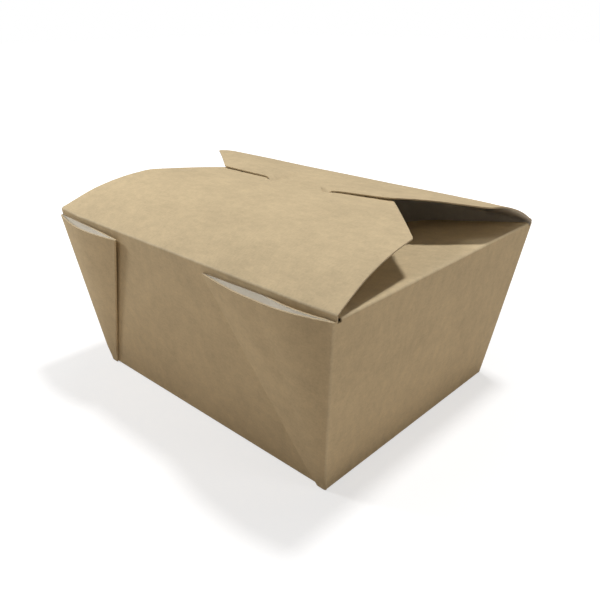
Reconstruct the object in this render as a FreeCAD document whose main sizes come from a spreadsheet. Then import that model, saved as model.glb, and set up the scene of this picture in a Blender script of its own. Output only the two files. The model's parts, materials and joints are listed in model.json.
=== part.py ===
import FreeCAD, Part
import math
import os
import Sketcher

# Folded paperboard takeaway box with an interlocked two-flap lid.
# Millimetres. Origin at the middle of the underside, +Z up, +X along the long side.

doc = FreeCAD.newDocument("takeaway_box")
sheet = doc.addObject("Spreadsheet::Sheet", "Sizes")

# Sizes
SIZES = [
    ("board", 0.45, "thickness of the paperboard"),
    ("top_long", 130.0, "length over the end walls at the rim"),
    ("top_deep", 104.2, "depth over the front and rear walls at the rim"),
    ("base_long", 113.0, "length of the base"),
    ("base_deep", 89.4, "depth of the base"),
    ("rise", 61.0, "height of the lid creases above the table"),
    ("base_round", 0.6, "outer radius of the folds round the base"),
    ("crease_bead", 0.6, "thickness of the bead along a lid crease"),
    ("crease_gap", 0.3, "clearance between a lid flap's root and the crease on its wall"),
    ("dust_drop", 0.6, "how far the end walls' creases lie below the lid creases"),
    ("dust_reach", 42.0, "length of a dust flap from its crease"),
    ("dust_inset", 1.9, "dust flap's set-back from each corner at its crease"),
    ("dust_taper", 8.0, "narrowing of a dust flap at each side"),
    ("dust_corner", 9.0, "corner cut of a dust flap"),
    ("dust_angle", 7.0, "droop of a dust flap in degrees"),
    ("web_front_right", 49.0, "front right web, corner to fold at its top"),
    ("web_front_left", 36.5, "front left web, corner to fold at its top"),
    ("web_rear_right", 43.6, "rear right web, corner to fold at its top"),
    ("web_rear_left", 43.6, "rear left web, corner to fold at its top"),
    ("mouth_front_right", 4.2, "how far the front right web stands open"),
    ("mouth_front_left", 3.0, "how far the front left web stands open"),
    ("mouth_rear_right", 3.2, "how far the rear right web stands open"),
    ("mouth_rear_left", 3.2, "how far the rear left web stands open"),
    ("web_foot", 3.0, "width of a web's folded point at the base corner"),
    ("web_foot_mouth", 0.08, "fullness of a web at its point"),
    ("web_nose", 1.3, "radius of a web's folded edge as a share of half its thickness"),
    ("web_drop", 0.8, "how far the webs' corners lie below the lid creases"),
    ("web_dip", 1.0, "fall of a web's top edge from the corner to its fold"),
    ("web_inset", 0.08, "set-back of a web's corner from the end wall's face"),
    ("web_sink", 0.25, "depth to which a web's inner layer is one with the wall"),
    ("pocket_start", 0.3, "share of the height that is pressed shut in a web"),
    ("root_angle", 34.5, "slope of the lid flaps at their creases in degrees"),
    ("root_radius", 51.5, "bending radius of the lid next to its creases"),
    ("crown_radius", 300.0, "bending radius of the lid's crown"),
    ("flap_end", 0.1, "set-back of a lid flap's ends from the ends of its crease"),
    ("lock_line", 2.6, "the lock's distance behind the middle of the box"),
    ("lock_gap", 0.6, "clearance between the two flaps' edges along the lock"),
    ("front_angle", 4.0, "slope at the front flap's shoulder bend in degrees"),
    ("front_shoulder_in", 4.3, "front shoulders' set-back from the flap's ends"),
    ("front_shoulder_out", 36.7, "distance of the front shoulders from the crease"),
    ("front_wing_in", 23.3, "set-back from the flap's ends where it passes under"),
    ("front_wing_lap", 3.1, "lap of the front flap's corners under the rear ears"),
    ("front_wing_start", 26.0, "half width at which that lap starts"),
    ("tongue_half", 12.3, "half width of the front flap's tongue"),
    ("tongue_lap", 9.6, "how far the tongue lies over the rear flap"),
    ("tongue_corner", 5.0, "corner cut of the tongue"),
    ("tongue_angle", 5.0, "slope at the bend in line with the tongue in degrees"),
    ("tongue_radius", 400.0, "bending radius of the crown in line with the tongue"),
    ("tongue_blend", 4.5, "width over which the raised strip fades at each side"),
    ("rear_angle", 3.0, "slope at the rear flap's shoulder bend in degrees"),
    ("rear_middle_half", 12.6, "half width of the rear flap's low middle"),
    ("right_ear_angle", 19.5, "slope at the bend of the rear flap's right ear in degrees"),
    ("right_ear_root", 19.5, "bending radius of the right ear next to the crease"),
    ("right_ear_radius", 179.0, "bending radius of the right ear beyond"),
    ("left_ear_angle", 6.0, "slope at the bend of the rear flap's left ear in degrees"),
    ("left_ear_root", 70.0, "bending radius of the left ear next to the crease"),
    ("left_ear_radius", 45.0, "bending radius of the left ear beyond"),
    ("ear_start", 40.0, "half width at which the ears reach their full height"),
    ("rear_shoulder_in", 3.9, "rear shoulders' set-back from the flap's ends"),
    ("rear_shoulder_out", 32.4, "distance of the rear shoulders from the crease"),
    ("rear_wing_in", 25.1, "set-back of the lock edge's ends from the flap's ends"),
    ("rear_wing_cut", 1.1, "set-back of the ears' outer ends from the lock line"),
    ("sheet_spare", 3.0, "length of sheet beyond the outline before it is cut"),
    ("front_shoulder_round", 1.5, "radius of the front flap's shoulders"),
    ("rear_shoulder_round", 2.5, "radius of the rear flap's shoulders"),
    ("wing_round", 1.5, "radius of the lid flaps' outer corners at the lock"),
    ("tongue_round", 2.0, "radius of the tongue's corners"),
]
for row, (alias, value, note) in enumerate(SIZES, start=1):
    sheet.set("A%d" % row, alias)
    sheet.set("B%d" % row, "%g" % value)
    sheet.set("C%d" % row, note)
    sheet.setAlias("B%d" % row, alias)
doc.recompute()


def size(alias):
    return float(getattr(sheet, alias))


def cell(alias):
    return "Sizes." + alias


def origin_plane(body, role):
    return next(f for f in body.Origin.OriginFeatures if f.Role == role)


def new_body(name):
    body = doc.addObject("PartDesign::Body", name)
    body.Label = name
    return body


# A sketch's numbers are given as (value, formula) pairs
def new_sketch(body, name, role, base, turn=None):
    sketch = body.newObject("Sketcher::SketchObject", name)
    sketch.AttachmentSupport = [(origin_plane(body, role), "")]
    sketch.MapMode = "FlatFace"
    axis, (degrees, angle_formula) = turn if turn else ((0, 0, 1), (0.0, None))
    point = FreeCAD.Vector(*[value for value, formula in base])
    sketch.AttachmentOffset = FreeCAD.Placement(
        point, FreeCAD.Rotation(FreeCAD.Vector(*axis), degrees))
    for letter, (value, formula) in zip("xyz", base):
        if formula:
            sketch.setExpression("AttachmentOffset.Base." + letter, formula)
    if angle_formula:
        sketch.setExpression("AttachmentOffset.Rotation.Angle", angle_formula)
    return sketch


def bind(sketch, kind, where, number):
    value, formula = number
    index = sketch.addConstraint(Sketcher.Constraint(kind, *where, value))
    if formula:
        sketch.setExpression("Constraints[%d]" % index, formula)


# Distance along x or y; the two points change places where it is negative
def span(sketch, kind, first, second, number, sign=1):
    where = first + second if sign > 0 else second + first
    bind(sketch, kind, where, number)


def join(sketch, first, second):
    sketch.addConstraint(Sketcher.Constraint("Coincident", *first, *second))


ORIGIN = (-1, 1)


def line(sketch, start, end):
    return sketch.addGeometry(Part.LineSegment(
        FreeCAD.Vector(*start, 0), FreeCAD.Vector(*end, 0)), False)


def arc(sketch, start, middle, end):
    clockwise = ((middle[0] - start[0]) * (end[1] - start[1])
                 < (middle[1] - start[1]) * (end[0] - start[0]))
    if clockwise:
        start, end = end, start
    return sketch.addGeometry(Part.Arc(*[
        FreeCAD.Vector(*p, 0) for p in (start, middle, end)]), False)


# The end of an arc that lies nearest to a point
def arc_end(sketch, index, point):
    geo = sketch.Geometry[index]
    near = FreeCAD.Vector(*point, 0)
    return (index, 1 if geo.StartPoint.distanceToPoint(near)
            < geo.EndPoint.distanceToPoint(near) else 2)


def loft(body, name, sketches, ruled, cut=False):
    kind = "PartDesign::SubtractiveLoft" if cut else "PartDesign::AdditiveLoft"
    feature = body.newObject(kind, name)
    feature.Profile = sketches[0]
    feature.Sections = sketches[1:]
    feature.Ruled = ruled
    for sketch in sketches:
        sketch.Visibility = False
    return feature


# Block with sloping flat sides, from one level up to another
def tapered_block(body, name, cut, base, top, thinner, level):
    kind = "PartDesign::SubtractiveWedge" if cut else "PartDesign::AdditiveWedge"
    block = body.newObject(kind, name)
    block.Placement = FreeCAD.Placement(
        FreeCAD.Vector(0, 0, 0), FreeCAD.Rotation(FreeCAD.Vector(1, 0, 0), 90))
    for ends, sizes in ((("Xmin", "Xmax"), (base[0],)), (("Zmin", "Zmax"), (base[1],)),
                        (("X2min", "X2max"), (top[0],)), (("Z2min", "Z2max"), (top[1],))):
        for end, sign in zip(ends, ("-", "")):
            block.setExpression(end, "%s(%s / 2 - %s)" % (sign, cell(sizes[0]), thinner))
    block.setExpression("Ymin", level)
    block.setExpression("Ymax", cell("rise"))
    return block


# Tray: the base, four walls, folded corner webs and two dust flaps, one folded sheet
tray = new_body("tray")
t = size("board")
H = size("rise")

BASE, TOP = ("base_long", "base_deep"), ("top_long", "top_deep")
tapered_block(tray, "outside", False, BASE, TOP, "0", "0")
doc.recompute()
hollow = tapered_block(tray, "inside", True, BASE, TOP, cell("board"), cell("board"))
doc.recompute()

base_edges = ["Edge%d" % (k + 1) for k, edge in enumerate(hollow.Shape.Edges)
              if edge.BoundBox.ZMax < t / 2]
folds = tray.newObject("PartDesign::Fillet", "base_folds")
folds.Base = (hollow, base_edges)
folds.Radius = size("base_round")
folds.setExpression("Radius", cell("base_round"))
doc.recompute()

# The end walls end a little below the lid creases
end_cut = new_sketch(tray, "end_wall_top", "XZ_Plane",
                     [(0, None), (H, cell("rise")), (0, None)])
wide = size("top_long")
drop = size("dust_drop")
corners = [(-wide, -drop), (wide, -drop), (wide, drop), (-wide, drop)]
for k in range(4):
    line(end_cut, corners[k], corners[(k + 1) % 4])
for k in range(4):
    join(end_cut, (k, 2), ((k + 1) % 4, 1))
for k, kind in enumerate(("Horizontal", "Vertical") * 2):
    end_cut.addConstraint(Sketcher.Constraint(kind, k))
span(end_cut, "DistanceX", (0, 1), ORIGIN, (wide, cell("top_long")))
span(end_cut, "DistanceY", (0, 1), ORIGIN, (drop, cell("dust_drop")))
span(end_cut, "DistanceX", ORIGIN, (1, 2), (wide, cell("top_long")))
span(end_cut, "DistanceY", ORIGIN, (1, 2), (drop, cell("dust_drop")))
lower = tray.newObject("PartDesign::Pocket", "end_walls_lowered")
lower.Profile = end_cut
lower.Length = size("top_deep") - 2 * t
lower.setExpression("Length", cell("top_deep") + " - 2 * " + cell("board"))
lower.SideType = "Symmetric"
end_cut.Visibility = False
doc.recompute()

# Rounded creases along the tops of the front and rear walls
for name, side in (("front_crease", -1), ("rear_crease", 1)):
    where = side * (size("top_deep") - t) / 2
    formula = "%d * (%s - %s) / 2" % (side, cell("top_deep"), cell("board"))
    sketch = new_sketch(tray, name + "_section", "YZ_Plane",
                        [(where, formula), (H, cell("rise")), (0, None)])
    sketch.addGeometry(Part.Circle(
        FreeCAD.Vector(0, 0, 0), FreeCAD.Vector(0, 0, 1), size("crease_bead") / 2), False)
    join(sketch, (0, 3), ORIGIN)
    bind(sketch, "Radius", (0,), (size("crease_bead") / 2, cell("crease_bead") + " / 2"))
    bead = tray.newObject("PartDesign::Pad", name)
    bead.Profile = sketch
    bead.Length = size("top_long")
    bead.setExpression("Length", cell("top_long"))
    bead.SideType = "Symmetric"
    sketch.Visibility = False
    doc.recompute()


# Corner web: two layers folded flat on the wall outside, open like a cone at the top.
# side_x and side_y give the corner; the web runs from it towards the middle.
def web_frame(name, share, side_x, side_y, reach, reach_formula, tilted):
    point = []
    for side, top, base in ((side_x, "top_long", "base_long"),
                            (side_y, "top_deep", "base_deep")):
        value = side * (size(base) + share[0] * (size(top) - size(base))) / 2
        formula = "%d * (%s + (%s) * (%s - %s)) / 2" % (
            side, cell(base), share[1], cell(top), cell(base))
        point.append((value, formula))
    point.append((share[0] * H, "(%s) * %s" % (share[1], cell("rise"))))
    turn = None
    if tilted:
        angle = math.degrees(math.atan2(size("web_dip"), reach))
        turn = ((0, -side_x, 0),
                (angle, "atan(%s / (%s))" % (cell("web_dip"), reach_formula)))
    return new_sketch(tray, name, "XY_Plane", point, turn)


def bow(reach, reach_formula, rise, rise_formula):
    value = (reach ** 2 / 4 + rise ** 2) / (2 * rise)
    formula = "((%s) ^ 2 / 4 + (%s) ^ 2) / (2 * (%s))" % (
        reach_formula, rise_formula, rise_formula)
    return value, formula


def web_outer(sketch, side_x, side_y, reach, reach_formula, mouth, mouth_formula):
    sink, inset = size("web_sink"), size("web_inset")
    dx, dy = -side_x, side_y
    p1, p2 = (dx * inset, -dy * sink), (dx * inset, dy * 2 * t)
    p3, p4 = (dx * reach, dy * 2 * t), (dx * reach, -dy * sink)
    mid = (dx * (reach + inset) / 2, dy * (2 * t + mouth))
    fold = size("web_nose") * (t + sink / 2)
    bulge = fold - math.sqrt(fold ** 2 - (t + sink / 2) ** 2)
    tip = (dx * (reach + bulge), dy * (t - sink / 2))
    line(sketch, p1, p2)
    arc(sketch, p2, mid, p3)
    arc(sketch, p3, tip, p4)
    line(sketch, p4, p1)
    join(sketch, (0, 2), arc_end(sketch, 1, p2))
    join(sketch, arc_end(sketch, 1, p3), arc_end(sketch, 2, p3))
    join(sketch, arc_end(sketch, 2, p4), (3, 1))
    join(sketch, (3, 2), (0, 1))
    sketch.addConstraint(Sketcher.Constraint("Vertical", 0))
    sketch.addConstraint(Sketcher.Constraint("Horizontal", 3))
    span(sketch, "DistanceX", ORIGIN, (0, 1), (inset, cell("web_inset")), dx)
    span(sketch, "DistanceY", (0, 1), ORIGIN, (sink, cell("web_sink")), dy)
    span(sketch, "DistanceY", ORIGIN, (0, 2), (2 * t, "2 * " + cell("board")), dy)
    span(sketch, "DistanceX", ORIGIN, (3, 1), (reach, reach_formula), dx)
    span(sketch, "DistanceX", ORIGIN, arc_end(sketch, 1, p3), (reach, reach_formula), dx)
    span(sketch, "DistanceY", ORIGIN, arc_end(sketch, 1, p3),
         (2 * t, "2 * " + cell("board")), dy)
    bind(sketch, "Radius", (1,), bow(
        reach - inset, reach_formula + " - " + cell("web_inset"), mouth, mouth_formula))
    bind(sketch, "Radius", (2,), (fold, "%s * (%s + %s / 2)" % (
        cell("web_nose"), cell("board"), cell("web_sink"))))


def web_pocket(sketch, side_x, side_y, reach, reach_formula, mouth, mouth_formula):
    dx, dy = -side_x, side_y
    length = reach - 1.5 * t
    length_formula = "(%s) - 1.5 * %s" % (reach_formula, cell("board"))
    q1, q2 = (dx * t, dy * t), (dx * (t + length), dy * t)
    mid = (dx * (t + length / 2), dy * (t + mouth))
    line(sketch, q1, q2)
    arc(sketch, q1, mid, q2)
    join(sketch, (0, 1), arc_end(sketch, 1, q1))
    join(sketch, (0, 2), arc_end(sketch, 1, q2))
    sketch.addConstraint(Sketcher.Constraint("Horizontal", 0))
    span(sketch, "DistanceX", ORIGIN, (0, 1), (t, cell("board")), dx)
    span(sketch, "DistanceY", ORIGIN, (0, 1), (t, cell("board")), dy)
    span(sketch, "DistanceX", (0, 1), (0, 2), (length, length_formula), dx)
    bind(sketch, "Radius", (1,), bow(length, length_formula, mouth, mouth_formula))


RIM = ((H - size("web_drop")) / H, "(%s - %s) / %s" % (
    cell("rise"), cell("web_drop"), cell("rise")))
WEBS = [("front_right", 1, -1), ("front_left", -1, -1),
        ("rear_right", 1, 1), ("rear_left", -1, 1)]
for name, side_x, side_y in WEBS:
    reach, reach_cell = size("web_" + name), cell("web_" + name)
    mouth, mouth_cell = size("mouth_" + name), cell("mouth_" + name)
    foot, foot_cell = size("web_foot"), cell("web_foot")
    full, full_cell = size("web_foot_mouth"), cell("web_foot_mouth")
    start, start_cell = size("pocket_start"), cell("pocket_start")

    low = web_frame(name + "_web_foot", (0.0, "0"), side_x, side_y, reach, reach_cell, False)
    web_outer(low, side_x, side_y, foot, foot_cell, full, full_cell)
    top = web_frame(name + "_web_top", RIM, side_x, side_y, reach, reach_cell, True)
    web_outer(top, side_x, side_y, reach, reach_cell, mouth, mouth_cell)
    loft(tray, name + "_web", [low, top], True)
    doc.recompute()

    shut = web_frame(name + "_pocket_foot", (start, start_cell),
                     side_x, side_y, reach, reach_cell, False)
    web_pocket(shut, side_x, side_y,
               foot + start * (reach - foot),
               "%s + %s * (%s - %s)" % (foot_cell, start_cell, reach_cell, foot_cell),
               full + start * (mouth - full),
               "%s + %s * (%s - %s)" % (full_cell, start_cell, mouth_cell, full_cell))
    wide_open = web_frame(name + "_pocket_top", RIM,
                          side_x, side_y, reach, reach_cell, True)
    web_pocket(wide_open, side_x, side_y, reach, reach_cell, mouth, mouth_cell)
    loft(tray, name + "_pocket", [shut, wide_open], True, cut=True)
    doc.recompute()


# Closed outline, symmetric about the sketch's y axis, from its right-hand points
def mirrored_outline(sketch, points):
    right = [(p[0][0], p[1][0]) for p in points]
    loop = right + [(-x, y) for x, y in reversed(right)]
    count, n = len(loop), len(right)
    first = sketch.GeometryCount
    for k in range(count):
        line(sketch, loop[k], loop[(k + 1) % count])
    for k in range(count):
        join(sketch, (first + k, 2), (first + (k + 1) % count, 1))
    for k, (x, y) in enumerate(points):
        span(sketch, "DistanceX", ORIGIN, (first + k, 1), x)
        if abs(y[0]) < 1e-9:
            sketch.addConstraint(Sketcher.Constraint("PointOnObject", first + k, 1, -1))
        else:
            span(sketch, "DistanceY", ORIGIN, (first + k, 1), y)
        sketch.addConstraint(Sketcher.Constraint(
            "Symmetric", first + k, 1, first + count - 1 - k, 1, -2))


# Dust flaps, folded in from the end walls and drooping under the lid
for name, side in (("right_dust_flap", 1), ("left_dust_flap", -1)):
    where = side * (size("top_long") - t) / 2
    formula = "%d * (%s - %s) / 2" % (side, cell("top_long"), cell("board"))
    level = (H - drop, cell("rise") + " - " + cell("dust_drop"))
    sketch = new_sketch(tray, name + "_outline", "XY_Plane",
                        [(where, formula), (0, None), level])
    turned = FreeCAD.Rotation(FreeCAD.Vector(0, 0, 1), 90 * side)
    droop = FreeCAD.Rotation(FreeCAD.Vector(0, 1, 0), -side * size("dust_angle"))
    spot = sketch.AttachmentOffset.Base
    sketch.AttachmentOffset = FreeCAD.Placement(spot, droop.multiply(turned))
    root = size("top_deep") / 2 - size("dust_inset")
    root_formula = cell("top_deep") + " / 2 - " + cell("dust_inset")
    end = root - size("dust_taper")
    end_formula = root_formula + " - " + cell("dust_taper")
    cut, cut_cell = size("dust_corner"), cell("dust_corner")
    reach, reach_cell = size("dust_reach"), cell("dust_reach")
    mirrored_outline(sketch, [
        ((root, root_formula), (0, None)),
        ((end, end_formula), (reach - cut, reach_cell + " - " + cut_cell)),
        ((end - cut, end_formula + " - " + cut_cell), (reach, reach_cell)),
    ])
    flap = tray.newObject("PartDesign::Pad", name)
    flap.Profile = sketch
    flap.Length = t
    flap.setExpression("Length", cell("board"))
    flap.SideType = "Symmetric"
    sketch.Visibility = False
    doc.recompute()


# Section of a lid flap: board bent to a tight arc by the crease and a wide one beyond.
# The sketch's origin lies on the crease's axis.
def arch_section(body, name, station, root_r, shoulder, crown_r, end):
    a0, a0_formula = size("root_angle"), cell("root_angle")
    deg, shoulder_formula = size(shoulder), cell(shoulder)
    r1, r2 = size(root_r), size(crown_r)
    where = -(size("top_deep") - t) / 2
    sketch = new_sketch(body, name, "YZ_Plane", [
        (where, "-(%s - %s) / 2" % (cell("top_deep"), cell("board"))),
        (H, cell("rise")), station])
    s0, c0 = math.sin(math.radians(a0)), math.cos(math.radians(a0))
    s1, c1 = math.sin(math.radians(deg)), math.cos(math.radians(deg))
    gap = size("crease_bead") / 2 + size("crease_gap")
    m1 = (gap * c0 + r1 * s0, gap * s0 - r1 * c0)
    m2 = (m1[0] + (r2 - r1) * s1, m1[1] - (r2 - r1) * c1)

    def on(centre, radius, sine):
        return (centre[0] - radius * sine,
                centre[1] + radius * math.sqrt(1 - sine ** 2))

    def points(shift):
        last = (m2[0] - end[0]) / (r2 + t / 2)
        return (on(m1, r1 + shift, s0), on(m1, r1 + shift, (s0 + s1) / 2),
                on(m1, r1 + shift, s1), on(m2, r2 + shift, (s1 + last) / 2),
                on(m2, r2 + shift, last))

    up, down = points(t / 2), points(-t / 2)
    arc(sketch, up[0], up[1], up[2])
    arc(sketch, up[2], up[3], up[4])
    line(sketch, up[4], down[4])
    arc(sketch, down[2], down[3], down[4])
    arc(sketch, down[0], down[1], down[2])
    line(sketch, down[0], up[0])
    e = {key: arc_end(sketch, index, point) for key, index, point in (
        ("root_up", 0, up[0]), ("bend_up_1", 0, up[2]), ("bend_up_2", 1, up[2]),
        ("end_up", 1, up[4]), ("end_down", 3, down[4]), ("bend_down_2", 3, down[2]),
        ("bend_down_1", 4, down[2]), ("root_down", 4, down[0]))}
    sketch.addConstraint(Sketcher.Constraint("Tangent", *e["bend_up_1"], *e["bend_up_2"]))
    sketch.addConstraint(Sketcher.Constraint("Tangent", *e["bend_down_1"], *e["bend_down_2"]))
    join(sketch, e["end_up"], (2, 1))
    join(sketch, (2, 2), e["end_down"])
    join(sketch, e["root_down"], (5, 1))
    join(sketch, (5, 2), e["root_up"])
    join(sketch, (0, 3), (4, 3))
    join(sketch, (1, 3), (3, 3))
    sketch.addConstraint(Sketcher.Constraint("PointOnObject", 0, 3, 5))
    sketch.addConstraint(Sketcher.Constraint("PointOnObject", 1, 3, 2))
    gap_formula = "(%s / 2 + %s)" % (cell("crease_bead"), cell("crease_gap"))
    half_t = cell("board") + " / 2"
    span(sketch, "DistanceX", ORIGIN, (5, 2), (
        gap * c0 - t / 2 * s0,
        "%s * cos(%s) - %s * sin(%s)" % (gap_formula, a0_formula, half_t, a0_formula)))
    span(sketch, "DistanceY", ORIGIN, (5, 2), (
        gap * s0 + t / 2 * c0,
        "%s * sin(%s) + %s * cos(%s)" % (gap_formula, a0_formula, half_t, a0_formula)))
    span(sketch, "DistanceX", (5, 2), (5, 1), (
        t * s0, "%s * sin(%s)" % (cell("board"), a0_formula)))
    bind(sketch, "Distance", (5,), (t, cell("board")))
    bind(sketch, "Radius", (0,), (r1 + t / 2, cell(root_r) + " + " + half_t))
    bind(sketch, "Radius", (1,), (r2 + t / 2, cell(crown_r) + " + " + half_t))
    span(sketch, "DistanceX", (5, 2), e["bend_up_1"], (
        (r1 + t / 2) * (s0 - s1), "(%s + %s) * (sin(%s) - sin(%s))" % (
            cell(root_r), half_t, a0_formula, shoulder_formula)))
    span(sketch, "DistanceX", ORIGIN, e["end_up"], end)
    return sketch


# Outline of a lid flap, cut through the bent sheet; y runs from the crease
def cut_outline(body, name, points, reach):
    where = -(size("top_deep") - t) / 2
    sketch = new_sketch(body, name, "XY_Plane", [
        (0, None), (where, "-(%s - %s) / 2" % (cell("top_deep"), cell("board"))),
        (0, None)])
    far = (size("top_long"), cell("top_long"))
    mirrored_outline(sketch, points)
    first = sketch.GeometryCount
    box = [(far[0], -reach[0]), (far[0], 2 * reach[0]),
           (-far[0], 2 * reach[0]), (-far[0], -reach[0])]
    for k in range(4):
        line(sketch, box[k], box[(k + 1) % 4])
    for k in range(4):
        join(sketch, (first + k, 2), (first + (k + 1) % 4, 1))
    for k, kind in enumerate(("Vertical", "Horizontal") * 2):
        sketch.addConstraint(Sketcher.Constraint(kind, first + k))
    span(sketch, "DistanceX", ORIGIN, (first, 1), far)
    span(sketch, "DistanceY", (first, 1), ORIGIN, reach)
    span(sketch, "DistanceX", (first + 2, 1), ORIGIN, far)
    span(sketch, "DistanceY", ORIGIN, (first + 2, 1), (2 * reach[0], "2 * (%s)" % reach[1]))
    trim = body.newObject("PartDesign::Pocket", name + "_cut")
    trim.Profile = sketch
    trim.Type = "ThroughAll"
    trim.SideType = "Symmetric"
    trim.Refine = False
    sketch.Visibility = False
    doc.recompute()
    return trim


def plus(*terms):
    value = sum(sign * size(alias) * factor for sign, alias, factor in terms)
    formula = " ".join("%s %g * %s" % ("+" if sign > 0 else "-", factor, cell(alias))
                       for sign, alias, factor in terms)
    return value, "0 " + formula


CREASE = ((1, "top_deep", 0.5), (-1, "board", 0.5))


def lid_flap(name, stations, points, end):
    body = new_body(name)
    sections = []
    for k, (station, root_r, shoulder, crown_r) in enumerate(stations):
        sections.append(arch_section(
            body, "%s_section_%d" % (name, k + 1), station, root_r, shoulder, crown_r, end))
    loft(body, name + "_sheet", sections, True)
    doc.recompute()
    cut_outline(body, name + "_outline", points, plus(*CREASE, (1, "tongue_lap", 1.0)))
    return body


def both(*terms):
    positive = plus(*terms)
    return (-positive[0], "-(%s)" % positive[1]), positive


# Rounds the upright edges of a flap that stand at the given points of its outline
def round_corners(body, name, radius, points):
    before = body.Tip
    turned = body.Placement
    wanted = []
    for k, edge in enumerate(before.Shape.Edges):
        low, high = edge.BoundBox, edge.BoundBox
        upright = low.XLength < t / 4 and low.YLength < t / 4 and low.ZLength > t / 2
        centre = edge.BoundBox.Center
        from_crease = centre.y + (size("top_deep") - t) / 2
        if upright and any(abs(abs(centre.x) - x[0]) < t and abs(from_crease - y[0]) < t
                           for x, y in points):
            wanted.append("Edge%d" % (k + 1))
    rounded = body.newObject("PartDesign::Fillet", name)
    rounded.Base = (before, wanted)
    rounded.Radius = size(radius)
    rounded.setExpression("Radius", cell(radius))
    doc.recompute()


END = ((1, "top_long", 0.5), (-1, "flap_end", 1.0))
side_l, side_r = both(*END, (1, "sheet_spare", 1.0))
wing_l, wing_r = both((1, "front_wing_start", 1.0))
edge_l, edge_r = both((1, "tongue_half", 1.0), (1, "tongue_blend", 1.0))
mid_l, mid_r = both((1, "tongue_half", 1.0))
PLAIN = ("root_radius", "front_angle", "crown_radius")
RAISED = ("root_radius", "tongue_angle", "tongue_radius")
front_meet = plus(*CREASE, (1, "lock_line", 1.0), (-1, "lock_gap", 0.5))
front_shoulder = (plus(*END, (-1, "front_shoulder_in", 1.0)),
                  plus((1, "front_shoulder_out", 1.0)))
front_wing = (plus(*END, (-1, "front_wing_in", 1.0)),
              plus(*CREASE, (1, "lock_line", 1.0), (1, "front_wing_lap", 1.0)))
tongue_side = (plus((1, "tongue_half", 1.0)),
               plus(*CREASE, (1, "lock_line", 1.0), (1, "tongue_lap", 1.0),
                    (-1, "tongue_corner", 1.0)))
tongue_end = (plus((1, "tongue_half", 1.0), (-1, "tongue_corner", 1.0)),
              plus(*CREASE, (1, "lock_line", 1.0), (1, "tongue_lap", 1.0)))
front_flap = lid_flap(
    "front_flap",
    [(side_l,) + PLAIN, (wing_l,) + PLAIN, (edge_l,) + PLAIN, (mid_l,) + RAISED,
     (mid_r,) + RAISED, (edge_r,) + PLAIN, (wing_r,) + PLAIN, (side_r,) + PLAIN],
    [
        (plus(*END), (0.0, None)),
        front_shoulder,
        front_wing,
        (plus((1, "front_wing_start", 1.0)), front_meet),
        (plus((1, "tongue_half", 1.0)), front_meet),
        tongue_side,
        tongue_end,
    ],
    plus(*CREASE, (1, "lock_line", 1.0), (1, "tongue_lap", 1.0), (1, "sheet_spare", 1.0)))
round_corners(front_flap, "front_flap_shoulders", "front_shoulder_round", [front_shoulder])
round_corners(front_flap, "front_flap_wings", "wing_round", [front_wing])
round_corners(front_flap, "front_flap_tongue", "tongue_round", [tongue_side, tongue_end])

ear_l, ear_r = both((1, "ear_start", 1.0))
low_l, low_r = both((1, "rear_middle_half", 1.0))
RIGHT_EAR = ("right_ear_root", "right_ear_angle", "right_ear_radius")
LEFT_EAR = ("left_ear_root", "left_ear_angle", "left_ear_radius")
LOW = ("root_radius", "rear_angle", "crown_radius")
rear_shoulder = (plus(*END, (-1, "rear_shoulder_in", 1.0)),
                 plus((1, "rear_shoulder_out", 1.0)))
rear_wing = (plus(*END, (-1, "rear_wing_in", 1.0)),
             plus(*CREASE, (-1, "lock_line", 1.0), (-1, "lock_gap", 0.5),
                  (-1, "rear_wing_cut", 1.0)))
rear_flap = lid_flap(
    "rear_flap",
    [(side_l,) + RIGHT_EAR, (ear_l,) + RIGHT_EAR, (low_l,) + LOW,
     (low_r,) + LOW, (ear_r,) + LEFT_EAR, (side_r,) + LEFT_EAR],
    [
        (plus(*END), (0.0, None)),
        rear_shoulder,
        rear_wing,
        (plus((1, "tongue_half", 1.0)),
         plus(*CREASE, (-1, "lock_line", 1.0), (-1, "lock_gap", 0.5))),
    ],
    plus(*CREASE, (-1, "lock_line", 1.0), (1, "sheet_spare", 1.0)))
round_corners(rear_flap, "rear_flap_shoulders", "rear_shoulder_round", [rear_shoulder])
round_corners(rear_flap, "rear_flap_wings", "wing_round", [rear_wing])
rear_flap.Placement = FreeCAD.Placement(
    FreeCAD.Vector(0, 0, 0), FreeCAD.Rotation(FreeCAD.Vector(0, 0, 1), 180))
doc.recompute()

# Checks, then one file for each piece
failed = [item.Name for item in doc.Objects if {"Invalid", "Error"} & set(item.State)]
if failed:
    raise RuntimeError("failed: " + ", ".join(failed))
os.makedirs("parts", exist_ok=True)
for body in (tray, front_flap, rear_flap):
    shape = body.Shape
    if shape.isNull() or not shape.isValid() or len(shape.Solids) != 1:
        raise RuntimeError("bad shape: " + body.Label)
    shape.exportStep("parts/%s.step" % body.Label)
    box = shape.BoundBox
    print(body.Label, round(shape.Volume, 1), [round(v, 2) for v in (
        box.XMin, box.XMax, box.YMin, box.YMax, box.ZMin, box.ZMax)])
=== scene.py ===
import json
import math

import bmesh
import bpy
from mathutils import Matrix, Vector, noise


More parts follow.
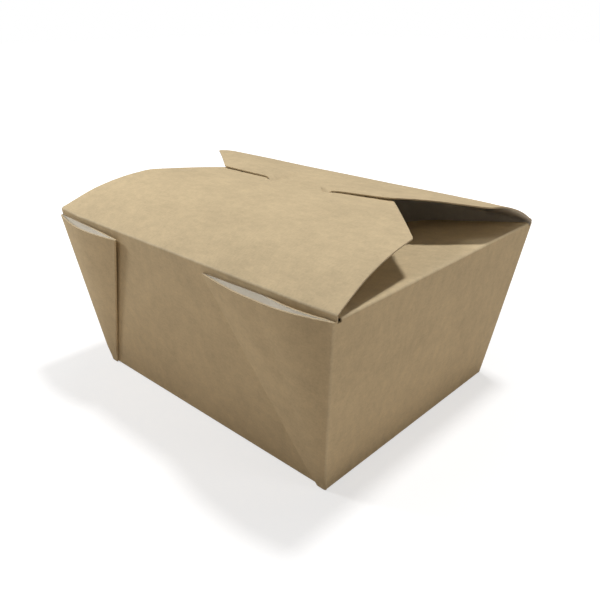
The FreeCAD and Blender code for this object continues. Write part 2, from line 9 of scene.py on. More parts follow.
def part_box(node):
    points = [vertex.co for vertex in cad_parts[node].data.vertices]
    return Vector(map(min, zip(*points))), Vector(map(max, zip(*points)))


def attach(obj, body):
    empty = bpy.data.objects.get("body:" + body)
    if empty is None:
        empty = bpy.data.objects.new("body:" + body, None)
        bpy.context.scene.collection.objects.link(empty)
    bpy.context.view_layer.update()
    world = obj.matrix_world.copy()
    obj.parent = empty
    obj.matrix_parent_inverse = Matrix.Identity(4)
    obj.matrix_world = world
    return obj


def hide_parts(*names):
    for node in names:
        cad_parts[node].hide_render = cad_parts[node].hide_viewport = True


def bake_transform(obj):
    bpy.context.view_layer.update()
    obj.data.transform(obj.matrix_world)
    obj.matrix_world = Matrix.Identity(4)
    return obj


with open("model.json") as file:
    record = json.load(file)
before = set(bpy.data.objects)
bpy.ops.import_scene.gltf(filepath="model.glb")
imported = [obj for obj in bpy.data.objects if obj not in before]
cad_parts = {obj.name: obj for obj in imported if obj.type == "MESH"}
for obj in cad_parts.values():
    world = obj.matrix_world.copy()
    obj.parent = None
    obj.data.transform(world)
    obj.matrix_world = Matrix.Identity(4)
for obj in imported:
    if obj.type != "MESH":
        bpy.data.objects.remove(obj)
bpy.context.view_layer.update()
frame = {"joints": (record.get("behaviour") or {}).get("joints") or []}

# Sizes in millimetres, worked out from the frame where it has them.
# x runs along the box, y to its rear and z up.
MM = 0.001
tray_low, tray_high = (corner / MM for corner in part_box("tray"))
joints = {joint["name"]: joint for joint in frame["joints"]}
crease_place = Vector(joints["rear_flap_crease"]["pos_m"]) / MM

BOARD = 0.45
CREASE_Y = crease_place.y
CREASE_Z = crease_place.z
RIM_LONG = tray_high.x - tray_low.x
RIM_DEEP = 2 * CREASE_Y + BOARD
BASE_LONG = RIM_LONG - 17.0
BASE_DEEP = RIM_DEEP - 14.8
BASE_ROUND = 0.6
WALL_TOP = CREASE_Z - 1.7
LAYER_CLEAR = 0.05

# Dust flaps, folded in from the end walls
DUST_CREASE_Z = CREASE_Z - 0.6
DUST_CREASE_RADIUS = 0.5
DUST_SLOPE = math.radians(-7.0)
DUST_REACH = 42.0
DUST_ROOT_HALF = RIM_DEEP / 2 - 1.9
DUST_TAPER = 8.0
DUST_CORNER = 9.0

# Corner webs: height of their upper edge at the box's corner and its fall along the wall,
# then the height and reach of their foot
WEB_TOP = CREASE_Z - 0.9
WEB_DIP = 1.0
WEB_LOW = 0.25
WEB_FOOT = 3.0

# Bent profiles of the lid: height and slope over the crease, bend radius beyond it,
# slope at the shoulder, bend radius of the crown
FRONT_CREST = 0.5
FRONT_ROOT_SLOPE = math.radians(26.5)
FRONT_ARCH = (FRONT_CREST, FRONT_ROOT_SLOPE, 82.0, math.radians(5.0), 230.0)
REAR_ROOT_SLOPE = math.radians(34.5)
REAR_MIDDLE = (0.0, REAR_ROOT_SLOPE, 49.0, math.radians(3.0), 300.0)
REAR_RIGHT_EAR = (0.0, REAR_ROOT_SLOPE, 60.0, math.radians(7.5), 300.0)
REAR_LEFT_EAR = (0.0, REAR_ROOT_SLOPE, 70.0, math.radians(6.0), 45.0)
FRONT_CREASE_RADIUS = 0.5
REAR_CREASE_RADIUS = 1.0
FLAP_ROOT = 1.3
# How far the bent lid departs from those profiles: the ledge beside the tongue, the rise
# of the front flap, the swelling of the rear one, the front corners, and waves in the board
LOCK_LEDGE = 1.9
FRONT_RISE = 0.45
REAR_BULGE = 0.55
RIGHT_EAR_DROOP = 0.35
LEFT_EAR_DROOP = 0.3
LEFT_CORNER_LIFT = 0.8
RIGHT_CORNER_LIFT = 0.3
CORNER_FADE = 7.0
RIPPLE = 0.12
DUST_SAG = 0.35


def smooth(value, start, end):
    share = min(max((value - start) / (end - start), 0.0), 1.0)
    return share * share * (3 - 2 * share)


def mix(first, second, share):
    return first + (second - first) * share


def swell(value, middle, width):
    return math.exp(-((value - middle) / width) ** 2)


# Selection and mesh helpers
def deselect():
    if bpy.context.object and bpy.context.object.mode != "OBJECT":
        bpy.ops.object.mode_set(mode="OBJECT")
    bpy.ops.object.select_all(action="DESELECT")


def edit(piece):
    deselect()
    piece.select_set(True)
    bpy.context.view_layer.objects.active = piece
    bpy.ops.object.mode_set(mode="EDIT")


def select(piece, kind, wanted):
    bpy.ops.mesh.select_all(action="DESELECT")
    bpy.ops.mesh.select_mode(type=kind)
    shape = bmesh.from_edit_mesh(piece.data)
    for part in {"VERT": shape.verts, "EDGE": shape.edges, "FACE": shape.faces}[kind]:
        place = (part.co if kind == "VERT" else part.calc_center_median()
                 if kind == "FACE" else (part.verts[0].co + part.verts[1].co) / 2)
        part.select_set(bool(wanted(part, place / MM)))
    bmesh.update_edit_mesh(piece.data)


def turn_over(piece):
    edit(piece)
    bpy.ops.mesh.select_all(action="SELECT")
    bpy.ops.mesh.flip_normals()
    bpy.ops.object.mode_set(mode="OBJECT")


def apply_modifier(piece, kind, **settings):
    deselect()
    piece.select_set(True)
    bpy.context.view_layer.objects.active = piece
    modifier = piece.modifiers.new(kind.title(), kind)
    for name, value in settings.items():
        setattr(modifier, name, value)
    bpy.ops.object.modifier_apply(modifier=modifier.name)


# Cuts evenly spaced lines across a flat or folded blank, so that it can bend
def slice_up(piece, axis, low, high, step):
    edit(piece)
    count = int(round((high - low) / step))
    normal = [0.0, 0.0, 0.0]
    normal[axis] = 1.0
    for k in range(1, count):
        place = [0.0, 0.0, 0.0]
        place[axis] = (low + (high - low) * k / count) * MM
        bpy.ops.mesh.select_all(action="SELECT")
        bpy.ops.mesh.bisect(plane_co=place, plane_no=normal)
    bpy.ops.object.mode_set(mode="OBJECT")


# A flat blank with the given corners, each with its own rounding
def blank(name, corners):
    deselect()
    bpy.ops.mesh.primitive_circle_add(vertices=len(corners), radius=1.0, fill_type="NGON")
    piece = bpy.context.object
    piece.name = name
    for vertex, (x, y, _) in zip(piece.data.vertices, corners):
        vertex.co = Vector((x, y, 0)) * MM
    edit(piece)
    for radius in sorted({corner[2] for corner in corners if corner[2]}):
        places = [Vector((x, y, 0)) for x, y, r in corners if r == radius]
        select(piece, "VERT", lambda part, place: any(
            (place - spot).length < 0.001 for spot in places))
        bpy.ops.mesh.bevel(offset=radius * MM, segments=4, affect="VERTICES")
    select(piece, "FACE", lambda part, place: part.normal.z < 0)
    bpy.ops.mesh.flip_normals()
    bpy.ops.object.mode_set(mode="OBJECT")
    return piece


# Bends a flat blank: place(x, y) gives the point that each of its points goes to
def bend(piece, place):
    for vertex in piece.data.vertices:
        x, y, _ = vertex.co / MM
        vertex.co = Vector(place(x, y)) * MM
    piece.data.update()


# A sheet that follows a drawn section: columns run along it, rows across it.
# place(column, row) gives the point and how strongly it is creased there.
def sheet(name, columns, rows, place):
    deselect()
    bpy.ops.mesh.primitive_grid_add(x_subdivisions=columns, y_subdivisions=rows, size=2.0)
    piece = bpy.context.object
    piece.name = name
    crease = piece.data.attributes.new("crease", "FLOAT", "POINT")
    for vertex in piece.data.vertices:
        column = round((vertex.co.x + 1) / 2 * columns)
        row = (vertex.co.y + 1) / 2
        point, wear_and_highlight = place(column, row)
        crease.data[vertex.index].value = wear_and_highlight
        vertex.co = Vector(point) * MM
    piece.data.update()
    return piece


# Gives a sheet the board's thickness: kraft outside, white inside, cream cut edges
def thicken(piece, offset=0.0):
    for material in (kraft, lining, cut_edge):
        piece.data.materials.append(material)
    apply_modifier(piece, "SOLIDIFY", thickness=BOARD * MM, offset=offset,
                   use_even_offset=True, use_quality_normals=True,
                   material_offset=1, material_offset_rim=2)


# Rounds the cut edges a little, apart from those to keep, where the sheet goes on
def soften(piece, keep):
    shape = bmesh.new()
    shape.from_mesh(piece.data)
    weight = shape.edges.layers.float.new("bevel_weight_edge")
    for line in shape.edges:
        kept = keep(line.verts[0].co / MM) and keep(line.verts[1].co / MM)
        sharp = len(line.link_faces) == 2 and line.calc_face_angle() > math.radians(55)
        line[weight] = float(sharp and not kept)
    shape.to_mesh(piece.data)
    shape.free()
    apply_modifier(piece, "BEVEL", limit_method="WEIGHT", width=0.06 * MM, segments=2)


def finish(piece):
    deselect()
    piece.select_set(True)
    bpy.context.view_layer.objects.active = piece
    bpy.ops.object.shade_smooth_by_angle(angle=math.radians(40))


# Materials
def new_group(name, inputs, outputs):
    group = bpy.data.node_groups.new(name, "ShaderNodeTree")
    for label, default in inputs:
        socket = group.interface.new_socket(label, in_out="INPUT", socket_type="NodeSocketFloat")
        socket.default_value = default
    for label, kind in outputs:
        group.interface.new_socket(label, in_out="OUTPUT", socket_type=kind)
    return group, group.nodes.new("NodeGroupInput"), group.nodes.new("NodeGroupOutput")


def add_node(tree, kind, inputs=(), **settings):
    node = tree.nodes.new("ShaderNode" + kind)
    for name, value in settings.items():
        setattr(node, name, value)
    for name, value in dict(inputs).items():
        if hasattr(value, "is_output"):
            tree.links.new(value, node.inputs[name])
        else:
            node.inputs[name].default_value = value
    return node


def maths(tree, operation, *values):
    node = tree.nodes.new("ShaderNodeMath")
    node.operation = operation
    for k, value in enumerate(values):
        if hasattr(value, "is_output"):
            tree.links.new(value, node.inputs[k])
        else:
            node.inputs[k].default_value = value
    return node.outputs[0]


def noise_map(tree, coordinates, scale, detail, roughness, stretch=None):
    if stretch:
        mapping = add_node(tree, "Mapping", {"Vector": coordinates, "Scale": stretch})
        coordinates = mapping.outputs["Vector"]
    node = add_node(tree, "TexNoise", {
        "Vector": coordinates, "Scale": scale, "Detail": detail, "Roughness": roughness})
    return node.outputs["Fac"]


# Paper surface: slow clouds, fine flock and single fibres, as a tone about 1 and a height
def paper_group():
    group, start, end = new_group("paper_fibres", [
        ("Clouds", 0.05), ("Flock", 0.05), ("Fibres", 0.05)],
        [("Tone", "NodeSocketFloat"), ("Height", "NodeSocketFloat")])
    spot = add_node(group, "TexCoord").outputs["Object"]
    clouds = maths(group, "ADD",
                   noise_map(group, spot, 75.0, 3.0, 0.55),
                   noise_map(group, spot, 260.0, 2.0, 0.5, (1.0, 1.6, 1.0)))
    clouds = maths(group, "SUBTRACT", clouds, 1.0)
    flock = maths(group, "SUBTRACT", noise_map(group, spot, 1300.0, 3.0, 0.7), 0.5)
    fibre_long = noise_map(group, spot, 900.0, 2.0, 0.6, (0.5, 3.2, 2.0))
    fibre_cross = noise_map(group, spot, 900.0, 2.0, 0.6, (3.2, 0.5, 1.6))
    fibres = maths(group, "SUBTRACT", maths(group, "ADD", fibre_long, fibre_cross), 1.0)
    tone = maths(group, "MULTIPLY", clouds, start.outputs["Clouds"])
    tone = maths(group, "MULTIPLY_ADD", flock, start.outputs["Flock"], tone)
    tone = maths(group, "MULTIPLY_ADD", fibres, start.outputs["Fibres"], tone)
    group.links.new(maths(group, "ADD", tone, 1.0), end.inputs["Tone"])
    height = maths(group, "MULTIPLY_ADD", flock, 0.6, fibres)
    group.links.new(height, end.inputs["Height"])
    return group


PAPER = paper_group()


def new_material(name, roughness, specular):
    material = bpy.data.materials.new(name)
    material.use_nodes = True
    tree = material.node_tree
    shader = tree.nodes["Principled BSDF"]
    shader.inputs["Roughness"].default_value = roughness
    shader.inputs["Specular IOR Level"].default_value = specular
    return material, tree, shader


def group_node(tree, group, **inputs):
    node = tree.nodes.new("ShaderNodeGroup")
    node.node_tree = group
    for name, value in inputs.items():
        node.inputs[name].default_value = value
    return node


def colour_mix(tree, factor, first, second):
    node = tree.nodes.new("ShaderNodeMix")
    node.data_type = "RGBA"
    sockets = [s for s in node.inputs if s.name in ("Factor", "A", "B") and s.enabled]
    for socket, value in zip(sockets, (factor, first, second)):
        if hasattr(value, "is_output"):
            tree.links.new(value, socket)
        else:
            socket.default_value = value
    return [s for s in node.outputs if s.enabled][0]


def board_material(name, colour, wear_and_highlight_colour, roughness, relief, **paper_values):
    material, tree, shader = new_material(name, roughness, 0.3)
    paper = group_node(tree, PAPER, **paper_values)
    # Lighter along the folds, by the crease attribute: partly crease wear of the board, partly a
    # painted highlight on the folds' rounding
    wear_and_highlight = add_node(tree, "Attribute", attribute_name="crease").outputs["Fac"]
    wear_and_highlight = maths(tree, "MULTIPLY", wear_and_highlight, maths(tree, "ADD", paper.outputs["Tone"], -0.35))
    body = colour_mix(tree, wear_and_highlight, (*colour, 1.0), (*wear_and_highlight_colour, 1.0))
    tone = tree.nodes.new("ShaderNodeVectorMath")
    tone.operation = "SCALE"
    tree.links.new(body, tone.inputs[0])
    tree.links.new(paper.outputs["Tone"], tone.inputs["Scale"])
    tree.links.new(tone.outputs[0], shader.inputs["Base Color"])
    bump = add_node(tree, "Bump", {"Strength": relief, "Distance": 0.00003,
                                   "Height": paper.outputs["Height"]})
    tree.links.new(bump.outputs["Normal"], shader.inputs["Normal"])
    return material


KRAFT = (0.63, 0.50, 0.305)
# Kraft on the folds: lighter, partly crease wear and partly painted highlight
KRAFT_WEAR_AND_HIGHLIGHT = (0.76, 0.64, 0.43)
LINING = (0.90, 0.86, 0.78)
EDGE = (0.52, 0.415, 0.265)
kraft = board_material("kraft_face", KRAFT, KRAFT_WEAR_AND_HIGHLIGHT, 0.72, 0.45,
                       Clouds=0.24, Flock=0.24, Fibres=0.16)
lining = board_material("white_lining", LINING, LINING, 0.5, 0.25,
                        Clouds=0.03, Flock=0.03, Fibres=0.03)
cut_edge = board_material("cut_edge", EDGE, EDGE, 0.85, 1.0,
                          Clouds=0.06, Flock=0.25, Fibres=0.3)


# Half lengths of the box at a height
def half_long(z):
    return (BASE_LONG + (RIM_LONG - BASE_LONG) * z / CREASE_Z) / 2


def half_deep(z):
    return (BASE_DEEP + (RIM_DEEP - BASE_DEEP) * z / CREASE_Z) / 2


# The base and four walls, up to just below the creases
def make_walls():
    deselect()
    bpy.ops.mesh.primitive_cube_add(size=MM)
    piece = bpy.context.object
    piece.name = "walls_and_base"
    edit(piece)
    bpy.ops.transform.resize(value=(BASE_LONG, BASE_DEEP, WALL_TOP), center_override=(0, 0, 0))
    bpy.ops.transform.translate(value=(0, 0, WALL_TOP / 2 * MM))
    select(piece, "FACE", lambda part, place: part.normal.z > 0.9)
    bpy.ops.transform.resize(value=(
        2 * half_long(WALL_TOP) / BASE_LONG, 2 * half_deep(WALL_TOP) / BASE_DEEP, 1.0),
        center_override=(0, 0, WALL_TOP * MM))
    bpy.ops.mesh.delete(type="ONLY_FACE")
    select(piece, "EDGE", lambda part, place: place.z < 0.01)
    bpy.ops.mesh.bevel(offset=BASE_ROUND * MM, segments=4, affect="EDGES")
    bpy.ops.object.mode_set(mode="OBJECT")
    thicken(piece, offset=-1.0)
    finish(piece)
    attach(piece, "tray")
    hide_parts("tray")


# One corner web: an inner layer on the wall, a fold, and an outer layer that stands open
class Web:
    # Columns over each part of its section, and how round it turns the box's corner
    INNER, TURN, OUTER, CORNER, END = 36, 10, 44, 8, 2
    COLUMNS = INNER + TURN + OUTER + CORNER + END
    CORNER_ROUND = 0.7

    def __init__(self, name, side_x, side_y, reach, mouth, inner_gap, lift):
        self.name = name
        self.side_x, self.side_y = side_x, side_y
        self.reach, self.mouth, self.inner_gap, self.lift = reach, mouth, inner_gap, lift

    def layer_offset(self, along, openness, outer):
        offset = (1.5 if outer else 0.5) * BOARD + LAYER_CLEAR * (2 if outer else 1)
        offset += self.lift * openness * along ** 1.6
        near = min(along / 0.5, 1.0)
        gap = self.inner_gap * openness * math.sin(math.pi * near)
        offset += gap
        if outer:
            lens = math.sin(math.pi * min(along, 1.0))
            offset += (self.mouth * lens - 0.5 * gap) * openness
        return offset

    def section(self, column, reach, openness):
        if column <= self.INNER:
            across = mix(BOARD * 1.3, reach, column / self.INNER)
            return across, self.layer_offset(across / reach, openness, False)
        column -= self.INNER
        low = self.layer_offset(1.0, openness, False)
        high = self.layer_offset(1.0, openness, True)
        if column <= self.TURN:
            turn = math.pi * column / self.TURN
            radius = (high - low) / 2
            return (reach + radius * 1.1 * math.sin(turn),
                    (low + high) / 2 - radius * math.cos(turn))
        column -= self.TURN
        bend_start = BOARD / 2 + self.CORNER_ROUND
        if column <= self.OUTER:
            across = mix(reach, bend_start, column / self.OUTER)
            return across, self.layer_offset(across / reach, openness, True)
        column -= self.OUTER
        level = self.layer_offset(bend_start / reach, openness, True)
        if column <= self.CORNER:
            turn = math.pi / 2 * column / self.CORNER
            return (bend_start - self.CORNER_ROUND * math.sin(turn),
                    level - self.CORNER_ROUND * (1 - math.cos(turn)))
        column -= self.CORNER
        return BOARD / 2, mix(level - self.CORNER_ROUND, 0.0, column / self.END)

    # Lighter at the web's fold and at the box's corner: partly crease wear, partly painted
    # highlight
    def wear_and_highlight(self, column):
        fold = abs(column - self.INNER - self.TURN / 2)
        corner = abs(column - self.INNER - self.TURN - self.OUTER - self.CORNER / 2)
        return max(1 - fold / 6.0, 0.6 * (1 - corner / 4.5), 0.0)

    def place(self, column, row):
        reach = mix(WEB_FOOT, self.reach, row)
        openness = row ** 1.4
        across, out = self.section(column, reach, openness)
        # The layers are pressed flat at the foot
        out *= mix(0.45, 1.0, smooth(row, 0.0, 0.12))
        z = mix(WEB_LOW, WEB_TOP - WEB_DIP * across / self.reach, row)
        x = self.side_x * (half_long(z) - across)
        y = self.side_y * (half_deep(z) + out)
        return (x, y, z), self.wear_and_highlight(column)


# Name, side of the box in x and y, reach along the wall, opening of the mouth,
# gap behind the inner layer and lift of the folded edge
WEBS = [
    Web("web_front_right", 1, -1, 49.0, 3.3, 1.2, 0.0),
    Web("web_front_left", -1, -1, 36.5, 3.0, 0.0, 1.2),
    Web("web_rear_right", 1, 1, 43.6, 3.0, 0.5, 0.4),
    Web("web_rear_left", -1, 1, 43.6, 3.0, 0.3, 0.4),
]


def make_web(web):
    piece = sheet(web.name, web.COLUMNS, 40, web.place)
    # The kraft side faces away from the box on the outer layer
    if web.side_x * web.side_y > 0:
        turn_over(piece)
    thicken(piece)
    finish(piece)
    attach(piece, "tray")


# Section of a crease: up the wall, round the fold and on along the flap.
# Its points are distances inwards and up from the crease's axis.
class Fold:
    ROWS = 16

    def __init__(self, wall_slope, flap_slope, radius, below, beyond, height=0.0):
        self.turn = flap_slope - wall_slope
        self.wall = Vector((math.cos(wall_slope), math.sin(wall_slope)))
        self.flap = Vector((math.cos(flap_slope), math.sin(flap_slope)))
        self.radius = radius
        self.tangent = radius * math.tan(abs(self.turn) / 2)
        self.below = below
        rise = height / (self.wall.y - self.wall.x * math.tan(flap_slope))
        self.apex = self.wall * rise
        self.beyond = (beyond - self.apex.x) / self.flap.x
        self.sign = 1 if self.turn > 0 else -1

    def start(self):
        return self.apex - self.wall * self.tangent

    def end(self):
        return self.apex + self.flap * self.tangent

    def point(self, share):
        step = share * self.ROWS
        if step <= 2:
            return (self.wall * -self.below).lerp(self.start(), step / 2), 0.0
        if step >= self.ROWS - 2:
            far = self.apex + self.flap * self.beyond
            return self.end().lerp(far, (step - self.ROWS + 2) / 2), 0.0
        part = (step - 2) / (self.ROWS - 4)
        angle = abs(self.turn) * part
        side = Vector((-self.wall.y, self.wall.x)) * self.sign
        point = (self.start() + self.wall * self.radius * math.sin(angle)
                 + side * self.radius * (1 - math.cos(angle)))
        # Lighter over the fold's rounding: partly crease wear, partly painted highlight
        return point, math.sin(math.pi * part)


lean_deep = math.atan2(CREASE_Z, (RIM_DEEP - BASE_DEEP) / 2)
lean_long = math.atan2(CREASE_Z, (RIM_LONG - BASE_LONG) / 2)
below_crease = (CREASE_Z - WALL_TOP) / math.sin(lean_deep)
FRONT_FOLD = Fold(math.pi - lean_deep, FRONT_ROOT_SLOPE, FRONT_CREASE_RADIUS, below_crease,
                  FLAP_ROOT, FRONT_CREST)
REAR_FOLD = Fold(math.pi - lean_deep, REAR_ROOT_SLOPE, REAR_CREASE_RADIUS, below_crease,
                 FLAP_ROOT)


# Lid crease between a long wall and its flap
def make_crease(name, side, fold, lift=lambda x: 0.0):
    def place(column, row):
        point, wear_and_highlight = fold.point(row)
        x = mix(-RIM_LONG / 2, RIM_LONG / 2, column / 40)
        up = lift(x) * smooth(point.y, WALL_TOP - CREASE_Z, 1.2)
        up *= math.exp(-max(point.x, 0.0) / CORNER_FADE)
        z = CREASE_Z + point.y + up
        shrink = 1.0 if point.y > 0 else half_long(z) / half_long(CREASE_Z)
        return (x * shrink, side * (CREASE_Y - point.x), z), wear_and_highlight

    piece = sheet(name, 40, Fold.ROWS, place)
    if side > 0:
        turn_over(piece)
    thicken(piece)
    finish(piece)
    start, end = ((0, side * (CREASE_Y - p.x) * MM, (CREASE_Z + p.y) * MM)
                  for p in (fold.start(), fold.end()))
    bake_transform(piece)


# Height of a lid flap's middle surface over its crease, at a distance from the crease
def arch(out, profile):
    height, slope, radius, shoulder, crown = profile
    if out <= 0:
        return height + out * math.tan(slope)
    near = (radius * math.sin(slope), height - radius * math.cos(slope))
    far = (near[0] + (crown - radius) * math.sin(shoulder),
           near[1] - (crown - radius) * math.cos(shoulder))
    centre, bent = (near, radius) if out < near[0] - radius * math.sin(shoulder) else (far, crown)
    return centre[1] + math.sqrt(bent ** 2 - (centre[0] - out) ** 2)


def ripple(x, out, seed, amount):
    fade = smooth(out, 3.0, 14.0)
    return amount * fade * noise.noise(Vector((x / 26.0, out / 19.0, seed)))


# The crease bulges at the ends of the front flap
def corner_lift(x):
    most = RIGHT_CORNER_LIFT if x > 0 else LEFT_CORNER_LIFT
    return most * smooth(abs(x), 54.0, 64.0)


def front_height(x, out):
    lift = corner_lift(x) * math.exp(-out / CORNER_FADE) + FRONT_RISE * smooth(out, 2.0, 14.0)
    return arch(out, FRONT_ARCH) + lift + ripple(x, out, 3.7, RIPPLE)


# The rear flap's low middle lies under the tongue; beside it a ledge and the ears rise
def rear_height(x, out):
    aside = abs(x)
    ledge = LOCK_LEDGE * smooth(aside, 11.6, 15.6) * smooth(out, 24.0, 42.0)
    middle = arch(out, REAR_MIDDLE) + ledge + REAR_BULGE * swell(out, 16.0, 7.0)
    if x > 0:
        by_lock = smooth(out, 18.0, 40.0)
        share = smooth(aside, mix(18.0, 32.0, by_lock), mix(44.0, 50.0, by_lock))
        droop = RIGHT_EAR_DROOP * smooth(aside, 50.0, 65.0) * swell(out, 14.0, 9.0)
        ear = arch(out, REAR_RIGHT_EAR) - droop
    else:
        share = smooth(aside, 20.0, 44.0)
        ear = arch(out, REAR_LEFT_EAR) - LEFT_EAR_DROOP * swell(out, 19.0, 8.0)
    return mix(middle, ear, share) + ripple(x, out, 8.1, RIPPLE)


# A lid flap, cut flat and then bent. Its corners are distances along the crease and in
# from it, with a rounding, from the root on the right, round the lock, to that on the left.
def make_flap(name, node, side, corners, height):
    piece = blank(name, corners)
    outs = [corner[1] for corner in corners]
    slice_up(piece, 0, -RIM_LONG / 2, RIM_LONG / 2, 1.6)
    slice_up(piece, 1, min(outs), max(outs), 1.6)
    bend(piece, lambda x, out: (x, side * (CREASE_Y - out), CREASE_Z + height(x, out)))
    if side > 0:
        turn_over(piece)
    thicken(piece)
    root = side * (CREASE_Y - min(outs))
    soften(piece, lambda place: abs(place.y - root) < 0.4)
    finish(piece)
    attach(piece, node)
    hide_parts(node)


FLAP_HALF = RIM_LONG / 2 - 0.15
FRONT_CORNERS = [
    (FLAP_HALF, FLAP_ROOT, 0.0), (61.3, 35.7, 0.9), (35.2, 63.2, 1.5), (16.8, 58.8, 0.6),
    (15.2, 55.9, 0.5), (12.55, 54.6, 0.0), (12.25, 54.4, 0.0), (5.5, 61.4, 1.5),
    (-5.5, 61.4, 1.5), (-12.25, 54.4, 0.0), (-12.55, 54.5, 0.0), (-15.2, 55.3, 0.5),
    (-16.6, 58.0, 0.6), (-37.0, 62.0, 1.5), (-61.0, 36.0, 1.5), (-FLAP_HALF, FLAP_ROOT, 0.0),
]
REAR_CORNERS = [
    (FLAP_HALF, FLAP_ROOT, 0.0), (64.3, 30.2, 2.5), (35.3, 42.4, 1.5), (27.1, 44.4, 0.0),
    (17.8, 46.5, 1.0), (12.6, 48.8, 0.8), (-12.6, 48.8, 0.8), (-17.2, 47.5, 1.0),
    (-39.8, 47.4, 1.0), (-61.0, 32.4, 1.0), (-FLAP_HALF, FLAP_ROOT, 0.0),
]


def both_sides(points):
    return points + [(-x, y, r) for x, y, r in reversed(points)]


# Dust flap: folded in from the end wall and drooping under the lid
def make_dust_flap(name, side):
    fold = Fold(math.pi - lean_long, DUST_SLOPE, DUST_CREASE_RADIUS,
                (DUST_CREASE_Z - WALL_TOP) / math.sin(lean_long), DUST_REACH)
    arc = fold.radius * abs(fold.turn)
    below = fold.below - fold.tangent
    root = -below - arc
    end_half = DUST_ROOT_HALF - DUST_TAPER
    reach = DUST_REACH - fold.tangent
    piece = blank(name, both_sides([
        (DUST_ROOT_HALF, root, 0.0),
        (DUST_ROOT_HALF, 0.0, 0.5),
        (end_half, reach - DUST_CORNER, 4.0),
        (end_half - DUST_CORNER, reach, 4.0)]))
    slice_up(piece, 0, -DUST_ROOT_HALF, DUST_ROOT_HALF, 3.0)
    slice_up(piece, 1, root, 0.0, arc / 8)
    slice_up(piece, 1, 0.0, reach, 3.0)
    crease = piece.data.attributes.new("crease", "FLOAT", "POINT")
    normal = Vector((-fold.wall.y, fold.wall.x)) * fold.sign

    def place(across, along):
        if along >= 0:
            point = fold.flap * (along + fold.tangent)
        elif along >= -arc:
            angle = (along + arc) / fold.radius
            point = (fold.wall * (-fold.tangent + fold.radius * math.sin(angle))
                     + normal * fold.radius * (1 - math.cos(angle)))
        else:
            point = fold.wall * (-fold.tangent + along + arc)
        sag = ripple(across, along, 5.0 + side, DUST_SAG)
        middle = (RIM_LONG - BOARD) / 2
        return side * (middle - point.x), side * across, DUST_CREASE_Z + point.y + sag

    for vertex in piece.data.vertices:
        along = vertex.co.y / MM
        # Lighter over the dust flap's crease: partly crease wear, partly painted highlight
        wear_and_highlight = math.sin(math.pi * (along + arc) / arc) if -arc < along < 0 else 0.0
        crease.data[vertex.index].value = 0.3 * wear_and_highlight
    bend(piece, place)
    thicken(piece)
    soften(piece, lambda place: place.z < WALL_TOP + 0.3 and abs(place.x) > RIM_LONG / 2 - 1.5)
    finish(piece)
    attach(piece, "tray")


make_walls()
for web in WEBS:
    make_web(web)
make_crease("front_crease", -1, FRONT_FOLD, corner_lift)
make_crease("rear_crease", 1, REAR_FOLD)
make_flap("front_lid_flap", "front_flap", -1, FRONT_CORNERS, front_height)
make_flap("rear_lid_flap", "rear_flap", 1, REAR_CORNERS, rear_height)
make_dust_flap("dust_flap_right", 1)
make_dust_flap("dust_flap_left", -1)


# Floor, light and camera
FLOOR_SIZE = 6.0
FLOOR_Z = -0.00005
FLOOR_SEEN = (0.5, 0.5, 0.5, 1.0)
FLOOR_BOUNCE = (0.72, 0.65, 0.57, 1.0)
STUDIO_LIGHT = (0.12, 0.11, 0.105, 1.0)
WHITE = (1.0, 1.0, 1.0, 1.0)


def make_floor():
    deselect()
    bpy.ops.mesh.primitive_plane_add(size=FLOOR_SIZE, location=(0, 0, FLOOR_Z))
    floor = bpy.context.object
    floor.name = "floor"
    material, tree, shader = new_material("pale_floor", 0.9, 0.0)
    camera_ray = add_node(tree, "LightPath").outputs["Is Camera Ray"]
    colour = colour_mix(tree, camera_ray, FLOOR_BOUNCE, FLOOR_SEEN)
    tree.links.new(colour, shader.inputs["Base Color"])
    shader.inputs["Emission Color"].default_value = WHITE
    # The floor looks white from the camera, and all of it does so far from the box
    spot = add_node(tree, "TexCoord").outputs["Object"]
    away = add_node(tree, "VectorMath", {0: spot}, operation="LENGTH").outputs["Value"]
    lift = add_node(tree, "MapRange", {"Value": away, "From Min": 0.08, "From Max": 0.32,
                                       "To Min": 0.62, "To Max": 1.0})
    tree.links.new(maths(tree, "MULTIPLY", camera_ray, lift.outputs["Result"]),
                   shader.inputs["Emission Strength"])
    floor.data.materials.append(material)


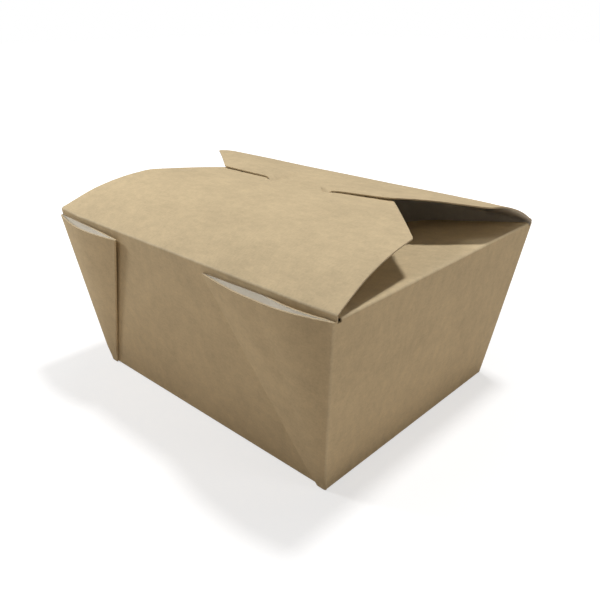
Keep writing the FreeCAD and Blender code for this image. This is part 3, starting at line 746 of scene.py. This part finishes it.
def make_world():
    world = bpy.data.worlds.new("studio")
    bpy.context.scene.world = world
    world.use_nodes = True
    tree = world.node_tree
    background = tree.nodes["Background"]
    camera_ray = add_node(tree, "LightPath").outputs["Is Camera Ray"]
    colour = colour_mix(tree, camera_ray, STUDIO_LIGHT, WHITE)
    tree.links.new(colour, background.inputs["Color"])


def make_lamp(name, direction, distance, size, power):
    deselect()
    spot = Vector(direction).normalized() * distance + Vector((0, 0, 0.04))
    bpy.ops.object.light_add(type="AREA", location=spot)
    lamp = bpy.context.object
    lamp.name = name
    lamp.data.shape = "DISK"
    lamp.data.size = size
    lamp.data.energy = power
    lamp.rotation_mode = "QUATERNION"
    lamp.rotation_quaternion = Vector(direction).to_track_quat("Z", "Y")


# The photograph's viewpoint: degrees, and the camera's place in millimetres
CAMERA_AZIMUTH = math.radians(43.16)
CAMERA_ELEVATION = math.radians(24.48)
CAMERA_ROLL = math.radians(-0.20)
CAMERA_PLACE = Vector((149.27, -154.64, 126.15)) * MM
CAMERA_LENS = 37.79


def make_camera():
    back = Vector((math.sin(CAMERA_AZIMUTH) * math.cos(CAMERA_ELEVATION),
                   -math.cos(CAMERA_AZIMUTH) * math.cos(CAMERA_ELEVATION),
                   math.sin(CAMERA_ELEVATION)))
    right = Vector((0, 0, 1)).cross(back).normalized()
    up = back.cross(right)
    cosine, sine = math.cos(CAMERA_ROLL), math.sin(CAMERA_ROLL)
    right, up = right * cosine + up * sine, up * cosine - right * sine
    deselect()
    bpy.ops.object.camera_add()
    camera = bpy.context.object
    axes = Matrix((right, up, back)).transposed()
    camera.matrix_world = Matrix.Translation(CAMERA_PLACE) @ axes.to_4x4()
    camera.data.sensor_width = 36.0
    camera.data.lens = CAMERA_LENS
    camera.data.clip_start = 0.01
    bpy.context.scene.camera = camera


make_floor()
make_world()
make_lamp("front_softbox", (-0.66, -0.52, 0.55), 0.38, 0.08, 0.50)
make_lamp("rear_softbox", (0.05, 0.20, 0.94), 0.80, 0.12, 3.95)
make_lamp("right_softbox", (0.93, 0.22, 0.30), 0.60, 0.20, 0.50)
make_camera()
bpy.context.scene.view_settings.view_transform = "Standard"
